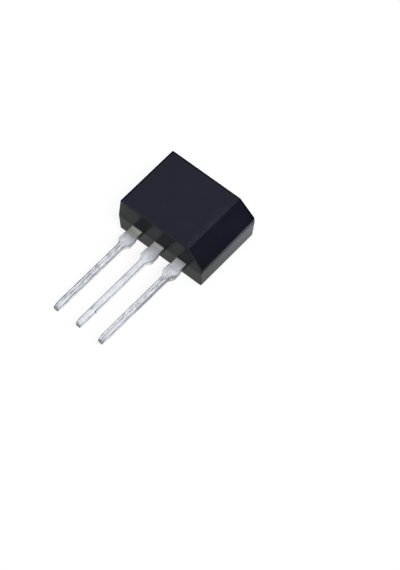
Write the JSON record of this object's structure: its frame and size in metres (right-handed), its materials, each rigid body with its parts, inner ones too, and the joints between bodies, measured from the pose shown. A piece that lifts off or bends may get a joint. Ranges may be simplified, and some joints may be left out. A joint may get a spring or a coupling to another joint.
{
  "type": "triac",
  "caption": "Flat moulded triac without a tab: a black block with one long chamfered edge and a row of slim tinned leads with wide shoulders.",
  "frame": {"origin": "centre of the lead row, at half the thickness of the leads, where they leave the lead side of the body", "axes": "+X runs across the leads towards the gate lead and the chamfered side, +Y runs from the leads to the head of the body, and +Z points out of the chamfered front face, up from the flat back that the part lies on"},
  "size_m": [0.0096, 0.0181, 0.0043],
  "materials": {
    "black_compound": "fine satin moulded epoxy compound, slightly rougher on the side walls",
    "tinned_copper": "hot-dipped tin over copper strip, mottled and slightly dull, duller on the shoulders",
    "soft_solder": "dull grey solder",
    "silicon": "sawn sides and a metallised face",
    "moat_glass": "fired milky glass",
    "aluminium_wire": "drawn soft wire"
  },
  "bodies": {
    "root": {"moulded_body": "black_compound", "lead_terminal_1": "tinned_copper", "lead_terminal_2": "tinned_copper", "lead_gate": "tinned_copper", "die_solder": "soft_solder", "silicon_die": "silicon", "moat_glass": "moat_glass", "wire_terminal_1": "aluminium_wire", "wire_gate": "aluminium_wire"}
  },
  "joints": []
}
